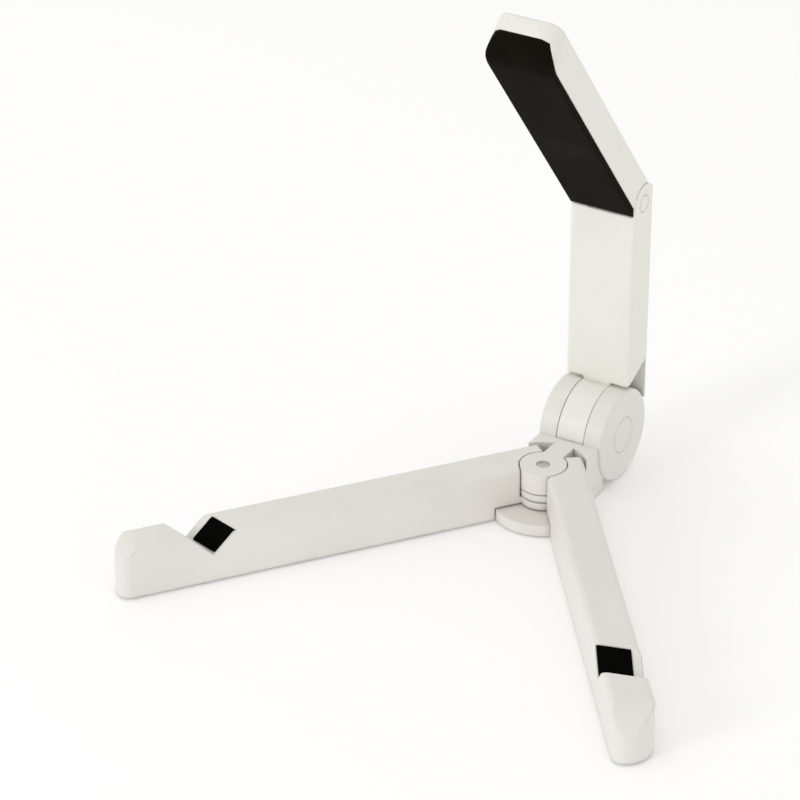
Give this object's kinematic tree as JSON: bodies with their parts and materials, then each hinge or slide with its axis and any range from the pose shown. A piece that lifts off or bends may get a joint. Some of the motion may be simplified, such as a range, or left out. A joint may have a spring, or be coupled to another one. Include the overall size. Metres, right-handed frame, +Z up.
{
  "type": "tablet stand",
  "caption": "Folding tripod tablet stand: notched legs that swing out from a hub, and a back arm that tilts on the hub and bends at an elbow, with a rubber-faced upper length.",
  "frame": {"origin": "on the table, under the axis of the leg pivot, at the centre of the hub's round foot", "axes": "-Y is the front, where the tablet stands; +X is to the right seen from behind the front edge looking along +Y; +Z is up"},
  "size_m": [0.2004, 0.1744, 0.1929],
  "materials": {
    "white_plastic": "satin moulded, warm off-white",
    "black_rubber": "matte black",
    "pad_rubber": "matte black, faintly brown, fine grain",
    "steel": "turned steel"
  },
  "bodies": {
    "hub": {"hub_body": "white_plastic", "hub_base": "white_plastic", "hub_foot": "black_rubber", "hub_screws": "steel", "leg_pivot_pin": "steel", "pivot_washers": "steel", "hinge_bolt": "steel", "hinge_nut": "steel", "hinge_caps": "white_plastic", "hinge_washers": "steel"},
    "left_leg": {"left_leg_shell": "white_plastic", "left_leg_cover": "white_plastic", "left_leg_grip": "black_rubber", "left_leg_foot": "black_rubber", "left_leg_screws": "steel"},
    "right_leg": {"right_leg_shell": "white_plastic", "right_leg_cover": "white_plastic", "right_leg_grip": "black_rubber", "right_leg_foot": "black_rubber", "right_leg_screws": "steel"},
    "lower_arm": {"arm_lower_shell": "white_plastic", "arm_lower_cover": "white_plastic", "arm_lower_screws": "steel", "elbow_pin": "steel", "elbow_plugs": "white_plastic", "elbow_washers": "steel"},
    "upper_arm": {"arm_upper_shell": "white_plastic", "arm_upper_cover": "white_plastic", "arm_upper_screws": "steel", "arm_pad": "pad_rubber"}
  },
  "joints": [
    {"name": "left_leg_swing", "type": "hinge", "parent": "hub", "child": "left_leg", "pos_m": [0, 0, 0], "axis": [0, 0, 1], "range_deg": [-0.8, 36.5]},
    {"name": "right_leg_swing", "type": "hinge", "parent": "hub", "child": "right_leg", "pos_m": [0, 0, 0], "axis": [0, 0, 1], "range_deg": [-37.3, 0]},
    {"name": "arm_tilt", "type": "hinge", "parent": "hub", "child": "lower_arm", "pos_m": [0, 0.0355, 0.0171], "axis": [1, 0, 0], "range_deg": [-45, 65]},
    {"name": "elbow_bend", "type": "hinge", "parent": "lower_arm", "child": "upper_arm", "pos_m": [0, 0.0451, 0.10371], "axis": [1, 0, 0], "range_deg": [-38.5, 0]}
  ]
}
